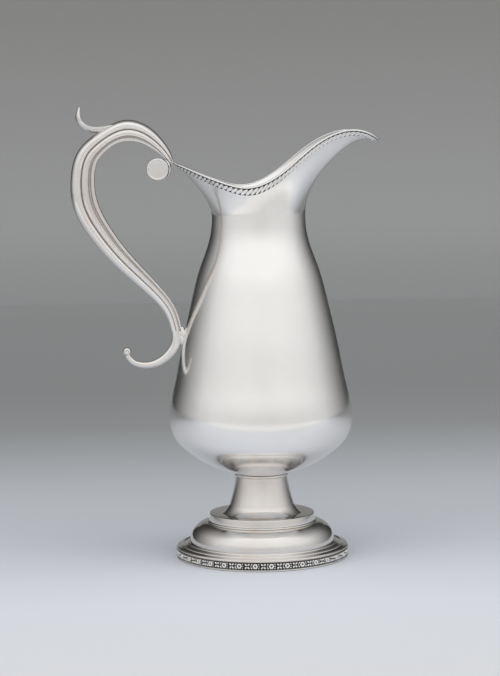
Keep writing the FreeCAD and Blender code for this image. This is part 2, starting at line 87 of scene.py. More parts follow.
# Sizes that the boxes of the nodes don't show.
WALL = 1.0
FOOT_SHEET = 1.4
HANDLE_SHEET = 1.1
BAND_SHEET = 1.6
BEAD_SEAT = 3.5             # how far a half-round ring reaches in behind its edge
FLANGE_EDGE = 8.0
DOME_BOTTOM = 10.4
DOME_RADIUS = 51.5
DOME_TOP_RADIUS = 38.9
DOME_SHOULDER = (47.7, 20.7)
DOME_LEDGE = 5.0            # width of the dome's flat top, under the step
STEP_TAPER = 0.7
STEP_HOLE_GAP = 2.0         # from the stem's top radius out to the step's hole
STEM_RADIUS = 18.3
STEM_FOOT_RADIUS = 28.5
STEM_SCOOP = (24.6, 34.1)
STEM_WAIST = (22.7, 38.0)
STEM_NARROW = (19.7, 49.4)
NECK_RADIUS = 33.2
NECK_HEIGHT = 243.0
BOTTOM_TILT = math.radians(19.0)    # slope at which the underside leaves the stem
RIM_WIRE_RADIUS = 0.7
RIM_WIRE_SHRINK = 0.96      # keeps the round wire inside the box of the CAD wire
RIM_BAND_WIDTH = 4.6
RIM_BAND_HEIGHT = 0.68      # how far the leaves stand out from the wall
RIM_BAND_GROUND = 0.12      # how far the hollows between them stand out
RIM_BAND_LEAN = 0.5         # how much further the lower edge stands out
RIM_BAND_SEAT = 0.2         # how far the back of the band sinks into the wall
RIM_LEAF_PITCH = 3.6
RIM_LEAF_SLANT = 1.4        # leaves passed between the upper and the lower edge of the band
FLOWER_REPEATS = 34
FLOWER_DEPTH = 0.75

# Half outline of the body from the stem to the neck, as (radius, height).
BODY_OUTLINE = [
    (STEM_RADIUS, BODY_BOTTOM),
    (34.4, 64.8),
    (51.1, 75.0),
    (61.3, 85.3),
    (65.17, 99.0),
    (61.4, 123.5),
    (55.0, 154.5),
    (47.5, 187.0),
    (42.9, 204.2),
    (37.7, 218.3),
    (34.3, 230.2),
    (NECK_RADIUS, NECK_HEIGHT),
]

# Guides of the mouth: angle round the neck, rim x, half width, height, slope, rise and reach.
MOUTH_GUIDES = [
    (0.0, 85.0, 0.0, 294.6, -12.0, 76.0, 84.0),
    (13.0, 79.2, 11.0, 298.0, 4.0, 78.0, 66.0),
    (30.0, 64.0, 17.8, 301.1, 30.0, 74.0, 44.0),
    (50.0, 41.0, 25.2, 292.7, 44.0, 56.0, 28.0),
    (72.0, 17.0, 33.0, 273.8, 58.0, 36.0, 19.0),
    (96.0, -6.0, 36.6, 262.7, 64.0, 22.0, 14.0),
    (120.0, -25.0, 31.8, 265.5, 54.0, 24.0, 18.0),
    (144.0, -41.5, 21.0, 271.9, 42.0, 28.0, 25.0),
    (164.0, -53.5, 10.4, 277.3, 36.0, 32.0, 32.0),
    (180.0, -59.4, 0.0, 279.9, 35.0, 34.0, 34.0),
]

# Middle line of the handle: x, height, width from the side and half depth across.
HANDLE_STATIONS = [
    (-60.0, 280.2, 2.2, 3.0),
    (-61.2, 282.2, 3.9, 4.6),
    (-64.4, 287.0, 6.6, 5.8),
    (-70.8, 293.9, 9.8, 6.2),
    (-81.0, 301.0, 13.4, 6.7),
    (-92.2, 303.3, 15.2, 7.0),
    (-104.0, 299.2, 13.6, 7.0),
    (-112.0, 293.6, 14.3, 7.0),
    (-118.8, 286.4, 15.6, 7.1),
    (-123.1, 270.0, 17.0, 7.4),
    (-121.0, 250.3, 17.8, 7.5),
    (-112.6, 234.0, 16.3, 7.0),
    (-101.0, 218.4, 14.3, 6.2),
    (-86.5, 203.0, 12.0, 5.3),
    (-72.3, 188.6, 9.8, 4.4),
    (-62.8, 175.3, 8.4, 3.8),
    (-58.9, 162.0, 7.6, 3.5),
]

# Middle line of the tail: x, height and radius.
TAIL_STATIONS = [
    (-58.9, 162.0, 3.6),
    (-59.5, 153.5, 3.5),
    (-64.0, 146.0, 3.1),
    (-72.5, 139.8, 2.6),
    (-83.0, 138.0, 2.2),
    (-90.6, 140.8, 1.9),
    (-94.2, 145.2, 1.8),
]

# Middle line of the thumb leaf: x, height, thickness and half width.
LEAF_STATIONS = [
    (-93.0, 308.4, 4.0, 3.6),
    (-100.5, 306.4, 4.4, 4.2),
    (-108.0, 305.0, 4.8, 4.8),
    (-115.5, 304.8, 5.2, 5.2),
    (-121.7, 307.2, 5.2, 5.4),
    (-125.3, 313.2, 4.2, 4.2),
    (-124.6, 319.9, 1.4, 1.4),
]


# --------------------------------------------------------------------------------------- curves

class Curve:
    """Smooth cubic curve through points, closed or with given or free end directions."""

    def __init__(self, knots, points, closed=False, start=None, end=None):
        self.knots = np.asarray(knots, float)
        self.points = np.asarray(points, float)
        gaps = np.diff(self.knots)
        slopes = np.diff(self.points, axis=0) / gaps[:, None]
        count = len(self.knots)
        matrix = np.zeros((count, count))
        right = np.zeros_like(self.points)
        for i in range(1, count - 1):
            matrix[i, i - 1:i + 2] = gaps[i], 2 * (gaps[i - 1] + gaps[i]), gaps[i - 1]
            right[i] = 3 * (gaps[i] * slopes[i - 1] + gaps[i - 1] * slopes[i])
        if closed:
            matrix[0, -2] = gaps[0]
            matrix[0, 0] = 2 * (gaps[-1] + gaps[0])
            matrix[0, 1] = gaps[-1]
            right[0] = 3 * (gaps[0] * slopes[-1] + gaps[-1] * slopes[0])
            matrix[-1, 0] = -1
            matrix[-1, -1] = 1
        else:
            self.set_end(matrix, right, 0, 1, start, slopes[0])
            self.set_end(matrix, right, -1, -2, end, slopes[-1])
        self.directions = np.linalg.solve(matrix, right)

    @staticmethod
    def set_end(matrix, right, row, neighbour, direction, slope):
        if direction is None:
            matrix[row, row] = 2
            matrix[row, neighbour] = 1
            right[row] = 3 * slope
        else:
            matrix[row, row] = 1
            right[row] = direction

    def at(self, values):
        """Places and directions at the values of the knots' parameter."""
        index = np.clip(np.searchsorted(self.knots, values, side="right") - 1, 0, len(self.knots) - 2)
        gap = (self.knots[index + 1] - self.knots[index])[:, None]
        t = (values - self.knots[index])[:, None] / gap
        a, b = self.points[index], self.points[index + 1]
        da, db = self.directions[index] * gap, self.directions[index + 1] * gap
        place = (
            (2 * t ** 3 - 3 * t ** 2 + 1) * a
            + (t ** 3 - 2 * t ** 2 + t) * da
            + (3 * t ** 2 - 2 * t ** 3) * b
            + (t ** 3 - t ** 2) * db
        )
        direction = (
            6 * (t ** 2 - t) * (a - b) + (3 * t ** 2 - 4 * t + 1) * da + (3 * t ** 2 - 2 * t) * db
        ) / gap
        return place, direction


def chord_knots(points):
    """Distance along the straight steps between points, from the first one."""
    steps = np.linalg.norm(np.diff(np.asarray(points, float), axis=0), axis=1)
    return np.concatenate([[0.0], np.cumsum(steps)])


def unit(vectors):
    """Vectors of the same directions and length 1."""
    return vectors / np.linalg.norm(vectors, axis=-1, keepdims=True)


def bezier_weights(t):
    """Shares of the four guide points at the fraction t of a cubic Bezier curve."""
    return (1 - t) ** 3, 3 * t * (1 - t) ** 2, 3 * t * t * (1 - t), t ** 3


def arc_points(start, middle, end, steps):
    """Points along the circle's arc from start by way of middle to end."""
    (ax, ay), (bx, by), (cx, cy) = start, middle, end
    double = 2 * (ax * (by - cy) + bx * (cy - ay) + cx * (ay - by))
    a2, b2, c2 = ax * ax + ay * ay, bx * bx + by * by, cx * cx + cy * cy
    ux = (a2 * (by - cy) + b2 * (cy - ay) + c2 * (ay - by)) / double
    uy = (a2 * (cx - bx) + b2 * (ax - cx) + c2 * (bx - ax)) / double
    first = math.atan2(ay - uy, ax - ux)
    to_middle = (math.atan2(by - uy, bx - ux) - first) % (2 * math.pi)
    to_end = (math.atan2(cy - uy, cx - ux) - first) % (2 * math.pi)
    if to_middle > to_end:
        to_end -= 2 * math.pi
    radius = math.hypot(ax - ux, ay - uy)
    angles = first + to_end * np.linspace(0, 1, steps + 1)
    return np.stack([ux + radius * np.cos(angles), uy + radius * np.sin(angles)], axis=1)


def outline_points(corners, steps=20):
    """Points along a closed outline. A corner with a third item is reached by an arc through it."""
    points = []
    start = corners[-1][:2]
    for corner in corners:
        if len(corner) == 3:
            points.extend(arc_points(start, corner[2], corner[:2], steps)[1:])
        else:
            points.append(np.array(corner[:2], float))
        start = corner[:2]
    return np.array(points)


ROUNDING_POINTS = 6         # points that take the place of one rounded corner


def softened(points, radius):
    """Closed outline whose sharp corners are rounded off by about the radius."""
    nearly_straight = -0.86
    most = 0.4
    result = []
    for i, here in enumerate(points):
        back = points[i - 1] - here
        onward = points[(i + 1) % len(points)] - here
        back_length, onward_length = np.linalg.norm(back), np.linalg.norm(onward)
        if back @ onward < nearly_straight * back_length * onward_length:
            result.append(here)
            continue
        cut = min(radius, most * back_length, most * onward_length)
        first = here + back / back_length * cut
        last = here + onward / onward_length * cut
        for t in np.linspace(0, 1, ROUNDING_POINTS):
            result.append(first * (1 - t) ** 2 + here * 2 * t * (1 - t) + last * t * t)
    return np.array(result)


# --------------------------------------------------------------------------------------- meshes

SHARP_ANGLE = math.radians(34)
TURN_STEPS = 256
KNOB_STEPS = 96


def mesh_piece(name, vertices, faces, relief=None):
    """Object from vertices in millimetres and faces, shaded smooth except at sharp edges."""
    mesh = bpy.data.meshes.new(name)
    mesh.from_pydata((np.asarray(vertices) * MM).tolist(), [], faces)
    if relief is not None:
        attribute = mesh.attributes.new("relief", "FLOAT", "POINT")
        attribute.data.foreach_set("value", np.asarray(relief, np.float32))
    mesh.validate()
    mesh.shade_smooth()
    mesh.set_sharp_from_angle(angle=SHARP_ANGLE)
    piece = bpy.data.objects.new(name, mesh)
    bpy.context.scene.collection.objects.link(piece)
    return piece


def grid_piece(name, rows, wrap=False, relief=None):
    """Closed surface from rings of points. With wrap the last ring joins the first, and otherwise
    the first and last rings are closed by flat faces."""
    rows = np.asarray(rows, float)
    count, around = rows.shape[:2]
    index = np.arange(count * around).reshape(count, around)
    upper = np.roll(index, -1, axis=0) if wrap else index[1:]
    lower = index if wrap else index[:-1]
    quads = np.stack(
        [lower, np.roll(lower, -1, axis=1), np.roll(upper, -1, axis=1), upper], axis=-1
    ).reshape(-1, 4)
    vertices = rows.reshape(-1, 3)
    corners = vertices[quads]
    centre = vertices.mean(axis=0)
    across = np.cross(corners[:, 2] - corners[:, 0], corners[:, 3] - corners[:, 1])
    volume = np.sum((corners.mean(axis=1) - centre) * across)
    faces = quads.tolist()
    if not wrap:
        faces.append(index[0][::-1].tolist())
        faces.append(index[-1].tolist())
    if volume < 0:
        faces = [face[::-1] for face in faces]
    return mesh_piece(name, vertices, faces, relief)


def turned(name, corners, edge, steps=20):
    """Ring turned about Z from a closed outline of (radius, height) corners, with softened edges."""
    profile = softened(outline_points(corners, steps), edge)
    angles = np.linspace(0, 2 * math.pi, TURN_STEPS, endpoint=False)
    radius, height = profile[:, :1], profile[:, 1:]
    rows = np.stack(
        [radius * np.cos(angles), radius * np.sin(angles), height + 0 * angles], axis=-1
    )
    return grid_piece(name, rows, wrap=True)


def turned_across(name, profile, x, z, side=1):
    """Knob turned about an axis along Y at (x, z), from (radius, distance along the axis) points."""
    angles = np.linspace(0, 2 * math.pi, KNOB_STEPS, endpoint=False)
    radius, along = profile[:, :1], profile[:, 1:] * side
    rows = np.stack(
        [x + radius * np.cos(angles), along + 0 * angles, z + radius * np.sin(angles)], axis=-1
    )
    return grid_piece(name, rows)


# ------------------------------------------------------------------------------------ materials

def node(tree, kind, **inputs):
    """New shader node with the given input values, and links where a value is another's output."""
    made = tree.nodes.new(kind)
    for key, value in inputs.items():
        socket = made.inputs[key.replace("_", " ")]
        if isinstance(value, bpy.types.NodeSocket):
            tree.links.new(value, socket)
        else:
            socket.default_value = value
    return made


def ramp(tree, value, stops):
    """Colour ramp through (position, colour) stops."""
    made = node(tree, "ShaderNodeValToRGB", Fac=value)
    elements = made.color_ramp.elements
    while len(elements) < len(stops):
        elements.new(0.5)
    for element, (position, colour) in zip(elements, stops):
        element.position = position
        element.color = (*colour, 1)
    return made.outputs["Color"]


def noise(tree, where, scale, detail, roughness, distortion=0.0):
    """Cloudy pattern between 0 and 1."""
    made = node(
        tree, "ShaderNodeTexNoise",
        Vector=where, Scale=scale, Detail=detail, Roughness=roughness, Distortion=distortion,
    )
    return made.outputs["Fac"]


def streaks(tree, where, scale, turn):
    """Fine straight streaks, drawn out across the axis of the largest scale."""
    mapping = node(tree, "ShaderNodeMapping", Vector=where, Scale=scale, Rotation=turn)
    return noise(tree, mapping.outputs["Vector"], 1.0, 2.0, 0.5)


def span(tree, value, from_low, from_high, to_low, to_high):
    """Value moved from one range to another and kept inside it."""
    made = node(tree, "ShaderNodeMapRange", Value=value)
    made.inputs["From Min"].default_value = from_low
    made.inputs["From Max"].default_value = from_high
    made.inputs["To Min"].default_value = to_low
    made.inputs["To Max"].default_value = to_high
    return made.outputs["Result"]


def mix_colour(tree, share, first, second):
    """Colour between the first and the second, by the share."""
    made = tree.nodes.new("ShaderNodeMix")
    made.data_type = "RGBA"
    for key, value in (("Factor", share), ("A", first), ("B", second)):
        socket = next(s for s in made.inputs if s.name == key and s.enabled)
        if isinstance(value, bpy.types.NodeSocket):
            tree.links.new(value, socket)
        else:
            socket.default_value = value
    return next(s for s in made.outputs if s.enabled)


def combine(tree, operation, first, second):
    """Result of an arithmetic operation on two values."""
    made = tree.nodes.new("ShaderNodeMath")
    made.operation = operation
    for socket, value in zip(made.inputs, (first, second)):
        if isinstance(value, bpy.types.NodeSocket):
            tree.links.new(value, socket)
        else:
            socket.default_value = value
    return made.outputs[0]


# Patterns of the silver: scales per metre, depths in metres and shares of the relief.
CLOUD_SCALE = 22.0
PATCH_SCALE = 75.0
WAVE_SCALE = 38.0
WAVE_DEPTH = 0.0006
SCRATCH_LONG = 400.0
SCRATCH_FINE = 4000.0
SCRATCH_DEPTH = 0.00002
# Noise and limits of the dark colour in the hollows: patina, and on the handle's lobes also painted
# crease shade.
PATINA_AND_SHADE_NOISE_SCALE = 900.0
PATINA_AND_SHADE_NOISE_SHARE = 0.06
PATINA_AND_SHADE_FULL_BELOW = 0.05
PATINA_AND_SHADE_GONE_ABOVE = 0.55
RECESS_HAZE = 0.3


def silver(name, bright, warm, smooth, hazy, recess=None):
    """Worn polished silver: cloudy tint and haze, faint scratches and slight hand-made waviness.
    Recess is the dark colour in the hollows of the relief, where there is one: patina on the trim, and
    tarnish with painted crease shade on the handle's lobes."""
    material = bpy.data.materials.new(name)
    material.use_nodes = True
    tree = material.node_tree
    shader = tree.nodes["Principled BSDF"]
    shader.inputs["Metallic"].default_value = 1.0
    where = node(tree, "ShaderNodeTexCoord").outputs["Object"]

    clouds = noise(tree, where, CLOUD_SCALE, 4.0, 0.6, 0.4)
    patches = noise(tree, where, PATCH_SCALE, 5.0, 0.6)
    colour = ramp(tree, clouds, [(0.32, warm), (0.62, bright)])
    haze = span(tree, patches, 0.3, 0.75, smooth, hazy)

    wipes = streaks(tree, where, (SCRATCH_LONG, SCRATCH_LONG, SCRATCH_FINE), (0.3, 0.2, 0.0))
    cross_wipes = streaks(tree, where, (SCRATCH_FINE, SCRATCH_LONG, SCRATCH_LONG), (0.5, -0.35, 0.6))
    scratches = combine(tree, "MAXIMUM", wipes, cross_wipes)
    waves = noise(tree, where, WAVE_SCALE, 1.0, 0.4)
    fine_bump = node(tree, "ShaderNodeBump", Height=scratches, Strength=0.05, Distance=SCRATCH_DEPTH)
    bump = node(
        tree, "ShaderNodeBump",
        Height=waves, Strength=0.06, Distance=WAVE_DEPTH, Normal=fine_bump.outputs["Normal"],
    )
    if recess:
        # Dark colour in the hollows of the relief: patina, and on the handle's lobes also painted
        # crease shade.
        relief = node(tree, "ShaderNodeAttribute")
        relief.attribute_name = "relief"
        patina_and_shade_noise = noise(tree, where, PATINA_AND_SHADE_NOISE_SCALE, 4.0, 0.7)
        uneven = span(tree, patina_and_shade_noise, 0.3, 0.7, -PATINA_AND_SHADE_NOISE_SHARE, PATINA_AND_SHADE_NOISE_SHARE)
        height = combine(tree, "ADD", relief.outputs["Fac"], uneven)
        free_of_patina_and_shade = span(tree, height, PATINA_AND_SHADE_FULL_BELOW, PATINA_AND_SHADE_GONE_ABOVE, 0.0, 1.0)
        colour = mix_colour(tree, free_of_patina_and_shade, recess, colour)
        haze = combine(tree, "ADD", haze, span(tree, height, PATINA_AND_SHADE_FULL_BELOW, PATINA_AND_SHADE_GONE_ABOVE, RECESS_HAZE, 0.0))
    tree.links.new(colour, shader.inputs["Base Color"])
    tree.links.new(haze, shader.inputs["Roughness"])
    tree.links.new(bump.outputs["Normal"], shader.inputs["Normal"])
    return material


BODY_SILVER = silver("body_silver", (0.95, 0.942, 0.925), (0.93, 0.913, 0.89), 0.11, 0.23)
FOOT_SILVER = silver("foot_silver", (0.80, 0.785, 0.765), (0.76, 0.71, 0.675), 0.06, 0.13)
HANDLE_SILVER = silver("handle_silver", (0.84, 0.825, 0.81), (0.78, 0.72, 0.675), 0.08, 0.17)
# The lobes' brown recess colour is tarnish with painted crease shade.
LOBE_SILVER = silver(
    "lobe_silver", (0.87, 0.86, 0.845), (0.82, 0.77, 0.73), 0.08, 0.17, (0.34, 0.275, 0.235, 1)
)
TRIM_SILVER = silver(
    "trim_silver", (0.93, 0.92, 0.90), (0.89, 0.87, 0.84), 0.10, 0.20, (0.05, 0.047, 0.045, 1)
)
WIRE_SILVER = silver("wire_silver", (0.95, 0.945, 0.935), (0.92, 0.90, 0.88), 0.10, 0.18)


def place(piece, material, slot, *nodes):
    """Give the piece its material and say which body and CAD nodes it stands for. The slot is not used.
    """
    piece.data.materials.append(material)
    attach(piece, "root")
    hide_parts(*nodes)


# ----------------------------------------------------------------------------------------- body

BODY_AROUND = 256
BODY_ROWS = 130
MOUTH_ROWS = 72
WIRE_AROUND = 14
WIRE_ALONG = 720
BAND_ALONG = 1700
BAND_ACROSS = 17


def mirrored_guides():
    """Angles and values of the guides all the way round, the far side mirrored in y."""
    near = np.array(MOUTH_GUIDES)
    far = near[-2:0:-1].copy()
    far[:, 0] = 360.0 - far[:, 0]
    far[:, 2] *= -1
    last = near[:1].copy()
    last[:, 0] = 360.0
    full = np.concatenate([near, far, last])
    return np.radians(full[:, 0]), full[:, 1:]


class Mouth:
    """Outer surface of the mouth, from the neck circle up to the rim, at the given angles."""

    def __init__(self, angles):
        knots, values = mirrored_guides()
        rim, along = Curve(knots, values[:, :3], closed=True).at(angles)
        shape = Curve(knots, values[:, 3:], closed=True).at(angles)[0]
        slope, rise, reach = np.radians(shape[:, :1]), shape[:, 1:2], shape[:, 2:]
        up = np.array([0.0, 0.0, 1.0])
        outward = unit(np.cross(along, up))
        arrive = outward * np.cos(slope) + up * np.sin(slope)
        circle = np.stack([np.cos(angles), np.sin(angles), 0 * angles], axis=1)
        neck = circle * NECK_RADIUS + up * NECK_HEIGHT
        self.rim = rim
        self.outer = [neck, neck + up * rise / 3, rim - arrive * reach / 3, rim]
        self.edge = unit(rim - self.outer[2])
        self.normal = unit(np.cross(along, self.edge))
        share = (NECK_RADIUS - WALL) / NECK_RADIUS
        narrowed = [ring * [share, share, 1.0] for ring in self.outer[:2]]
        self.inner = narrowed + [ring - self.normal * WALL for ring in self.outer[2:]]

    @staticmethod
    def across(rings, t):
        """Ring at the fraction t of the way from the neck to the rim."""
        return sum(weight * ring for weight, ring in zip(bezier_weights(t), rings))


def body_outline(inset):
    """Dense half outline of the body moved inwards by the inset, as (radius, height) rows."""
    points = np.array(BODY_OUTLINE)
    knots = chord_knots(points)
    tilt = np.array([math.cos(BOTTOM_TILT), math.sin(BOTTOM_TILT)])
    curve = Curve(knots, points, start=tilt, end=np.array([0.0, 1.0]))
    skin, direction = curve.at(np.linspace(0, knots[-1], BODY_ROWS))
    inward = unit(np.stack([-direction[:, 1], direction[:, 0]], axis=1))
    return skin + inward * inset


def circle_rows(profile, angles):
    """One ring of points for each (radius, height) of the profile."""
    return [
        np.stack([r * np.cos(angles), r * np.sin(angles), z + 0 * angles], axis=1) for r, z in profile
    ]


def make_body():
    """One raised sheet: outer skin up to the rim, over its edge and down the inner skin."""
    angles = np.linspace(0, 2 * math.pi, BODY_AROUND, endpoint=False)
    mouth = Mouth(angles)
    rising = np.linspace(0, 1, MOUTH_ROWS)[1:]
    rows = circle_rows(body_outline(0.0), angles)
    rows += [Mouth.across(mouth.outer, t) for t in rising]
    rows += [Mouth.across(mouth.inner, t) for t in rising[::-1]]
    rows += circle_rows(body_outline(WALL)[::-1], angles)
    place(grid_piece("pitcher_body", rows), BODY_SILVER, "body_silver", "body_shell")


def even_rim_angles(count):
    """Angles that divide the rim's length evenly, and the rim's length."""
    angles = np.linspace(0, 2 * math.pi, 4001)
    rim = Mouth(angles).rim
    lengths = chord_knots(rim)
    wanted = np.linspace(0, lengths[-1], count, endpoint=False)
    return np.interp(wanted, lengths, angles), lengths[-1]


def make_rim_wire():
    """Round wire soldered along the edge of the mouth."""
    angles = even_rim_angles(WIRE_ALONG)[0]
    mouth = Mouth(angles)
    radius = RIM_WIRE_RADIUS * RIM_WIRE_SHRINK
    centre = mouth.rim + mouth.edge * radius - mouth.normal * (WALL / 2)
    rows = []
    for turn in np.linspace(0, 2 * math.pi, WIRE_AROUND, endpoint=False):
        around = mouth.edge * math.cos(turn) + mouth.normal * math.sin(turn)
        rows.append(centre + around * radius)
    piece = grid_piece("mouth_rim_wire", rows, wrap=True)
    place(piece, WIRE_SILVER, "trim_silver", "rim_wire")


def dome(distance):
    """Round bump: 1 in the middle, 0 from a distance of 1 outwards."""
    return np.sqrt(np.clip(1 - distance ** 2, 0, 1))


def oval(x, y, middle_x, middle_y, half_length, half_width, tilt):
    """Round-topped oval bump, turned by the tilt in degrees."""
    angle = math.radians(tilt)
    u = (x - middle_x) * math.cos(angle) + (y - middle_y) * math.sin(angle)
    v = (y - middle_y) * math.cos(angle) - (x - middle_x) * math.sin(angle)
    return dome(np.hypot(u / half_length, v / half_width))


def rim_relief(along, across):
    """Slanted leaves with a vein. Along counts the leaves, and across goes from 0 to 1."""
    leaf = along + RIM_LEAF_SLANT * across
    phase = leaf - np.floor(leaf) - 0.5
    half_leaf = 0.45
    thinnest = 0.02
    vein_depth, vein_width = 0.35, 0.07
    half_width = 0.5 * np.sqrt(np.clip(1 - ((across - 0.5) / half_leaf) ** 2, 0.0, 1))
    strokes = dome(phase / np.maximum(half_width, thinnest))
    vein = 1 - vein_depth * np.exp(-(phase / vein_width) ** 2)
    return np.clip(strokes * vein, 0, 1)


def make_rim_band():
    """Rolled strip of slanted leaves laid on the outside just below the rim wire."""
    angles, length = even_rim_angles(BAND_ALONG)
    mouth = Mouth(angles)
    samples = np.linspace(1.0, 0.55, 60)
    curve = np.stack([Mouth.across(mouth.outer, t) for t in samples])
    distance = np.linalg.norm(curve - curve[:1], axis=2)
    share = np.linspace(0, 1, BAND_ACROSS)
    repeats = round(length / RIM_LEAF_PITCH)
    along = np.linspace(0, repeats, BAND_ALONG, endpoint=False)
    relief = rim_relief(along[None, :], share[:, None])
    lifted = RIM_BAND_GROUND + (RIM_BAND_HEIGHT - RIM_BAND_GROUND) * relief
    lifted = lifted + RIM_BAND_LEAN * share[:, None]
    rows = []
    for row, across in enumerate(share):
        ring = np.empty((BAND_ALONG, 3))
        for column in range(BAND_ALONG):
            t = np.interp(across * RIM_BAND_WIDTH, distance[:, column], samples)
            ring[column] = sum(w * r[column] for w, r in zip(bezier_weights(t), mouth.outer))
        rows.append(ring + mouth.normal * lifted[row][:, None])
    back_low = rows[-1] - mouth.normal * (lifted[-1][:, None] + RIM_BAND_SEAT)
    back_high = rows[0] - mouth.normal * (lifted[0][:, None] + RIM_BAND_SEAT)
    heights = np.concatenate([relief.ravel(), np.zeros(2 * BAND_ALONG)])
    piece = grid_piece("mouth_leaf_band", rows + [back_low, back_high], wrap=True, relief=heights)
    place(piece, TRIM_SILVER, "trim_silver", "rim_band")


# ----------------------------------------------------------------------------------------- foot

def flower_relief(x, y, half_height):
    """One repeat of the foot's band: four petals, then a round flower, with leaf tips between.
    x and y are millimetres from the middle of the repeat."""
    petals_x, flower_x = -2.85, 2.85
    petal_length, petal_width, petal_tilt = 1.0, 0.70, 40
    tip_y, tip_length, tip_width = 1.25, 1.05, 0.46
    dot_radius = 0.45
    border_width = 0.22

    bumps = []
    for side in (-1, 1):
        for level in (-1, 1):
            petal_x = petals_x + 0.95 * side
            tilt = petal_tilt * side * level
            bumps.append(oval(x, y, petal_x, 1.08 * level, petal_length, petal_width, tilt))

    radius = np.hypot(x - flower_x, y)
    six_petals = np.cos(6 * np.arctan2(y, x - flower_x))
    ring_middle, ring_half = 1.22, 0.68 + 0.16 * six_petals
    petal_gap = 1 - 0.3 * np.clip(-six_petals, 0, 1)
    bumps.append(dome(np.clip((radius - ring_middle) / ring_half, -1, 1)) * petal_gap)

    for tip_x, lean in ((0.25, 38), (5.45, -38)):
        for level in (-1, 1):
            bumps.append(0.95 * oval(x, y, tip_x, tip_y * level, tip_length, tip_width, lean * level))
    for dot_x in (-5.8, -0.1, 5.6):
        bumps.append(0.8 * oval(x, y, dot_x, 0.0, dot_radius, dot_radius, 0))
    border = np.exp(-((half_height - np.abs(y)) / border_width) ** 2)
    bumps.append(0.95 * border + 0 * x)
    return np.clip(np.maximum.reduce(bumps), 0, 1)


def make_flower_band():
    """Upright band of rolled flowers round the foot."""
    per_repeat, levels = 46, 27
    columns = FLOWER_REPEATS * per_repeat
    pitch = 2 * math.pi * FOOT_RADIUS / FLOWER_REPEATS
    half_height = (BAND_TOP - BASE_WIRE_TOP) / 2
    x = (np.arange(columns) % per_repeat + 0.5) / per_repeat * pitch - pitch / 2
    y = np.linspace(-half_height, half_height, levels)
    relief = flower_relief(x[None, :], y[:, None], half_height)
    angles = np.linspace(0, 2 * math.pi, columns, endpoint=False)
    middle = (BAND_TOP + BASE_WIRE_TOP) / 2
    rows = []
    for level in range(levels):
        radius = FOOT_RADIUS - FLOWER_DEPTH * (1 - relief[level])
        rows.append(np.stack(
            [radius * np.cos(angles), radius * np.sin(angles), middle + y[level] + 0 * angles], axis=1
        ))
    inside = FOOT_RADIUS - BAND_SHEET
    rows += circle_rows([(inside, BAND_TOP), (inside, BASE_WIRE_TOP)], angles)
    heights = np.concatenate([relief.ravel(), np.zeros(2 * columns)])
    piece = grid_piece("foot_flower_band", rows, wrap=True, relief=heights)
    place(piece, TRIM_SILVER, "trim_silver", "foot_band")


def bead_ring(name, node_name, radius, bulge, bottom, top):
    """Flat ring with a half-round outer edge that stands out by the bulge."""
    inside = radius - BEAD_SEAT
    piece = turned(name, [
        (inside, bottom),
        (radius, bottom),
        (radius, top, (radius + bulge, (bottom + top) / 2)),
        (inside, top),
    ], edge=0.08)
    place(piece, FOOT_SILVER, "foot_silver", node_name)


def make_stem():
    """Hollow trumpet that flares down to the step, and the half-round collar above it."""
    inner_narrow = (STEM_NARROW[0] - FOOT_SHEET, STEM_NARROW[1] - 0.4)
    bead_ring("collar_under_body", "body_collar", STEM_RADIUS - 0.1, 0.9, STEM_TOP, BODY_BOTTOM)
    place(turned("foot_stem_trumpet", [
        (STEM_FOOT_RADIUS - 2 * FOOT_SHEET, STEP_TOP),
        (STEM_FOOT_RADIUS, STEP_TOP),
        (*STEM_WAIST, STEM_SCOOP),
        (STEM_RADIUS, STEM_TOP, STEM_NARROW),
        (STEM_RADIUS - FOOT_SHEET, STEM_TOP),
        (STEM_WAIST[0] - FOOT_SHEET, STEM_WAIST[1] - FOOT_SHEET / 2, inner_narrow),
    ], edge=0.1), FOOT_SILVER, "foot_silver", "foot_stem")


def make_step():
    """Drum with a flat top that carries the stem, and the half-round fillet below it."""
    hole = STEM_RADIUS + STEP_HOLE_GAP
    top = STEP_RADIUS - STEP_TAPER
    place(turned("foot_step_drum", [
        (STEP_RADIUS - FOOT_SHEET, STEP_BOTTOM),
        (STEP_RADIUS, STEP_BOTTOM),
        (top, STEP_TOP),
        (hole, STEP_TOP),
        (hole, STEP_TOP - FOOT_SHEET),
        (top - FOOT_SHEET, STEP_TOP - FOOT_SHEET),
    ], edge=0.45), FOOT_SILVER, "foot_silver", "foot_step")
    bead_ring("foot_fillet_ring", "foot_fillet", STEP_RADIUS + 0.4, 0.6, FILLET_BOTTOM, STEP_BOTTOM)


def make_dome():
    """Quarter-round hollow dome between the flange and the step."""
    ledge = DOME_TOP_RADIUS - DOME_LEDGE
    inner_shoulder = (DOME_SHOULDER[0] - 1, DOME_SHOULDER[1] - 1)
    place(turned("foot_dome_ring", [
        (DOME_RADIUS - FOOT_SHEET, DOME_BOTTOM, inner_shoulder),
        (DOME_RADIUS, DOME_BOTTOM),
        (DOME_TOP_RADIUS, FILLET_BOTTOM, DOME_SHOULDER),
        (ledge, FILLET_BOTTOM),
        (ledge, FILLET_BOTTOM - FOOT_SHEET),
        (DOME_TOP_RADIUS, FILLET_BOTTOM - FOOT_SHEET),
    ], edge=0.2, steps=36), FOOT_SILVER, "foot_silver", "foot_dome")


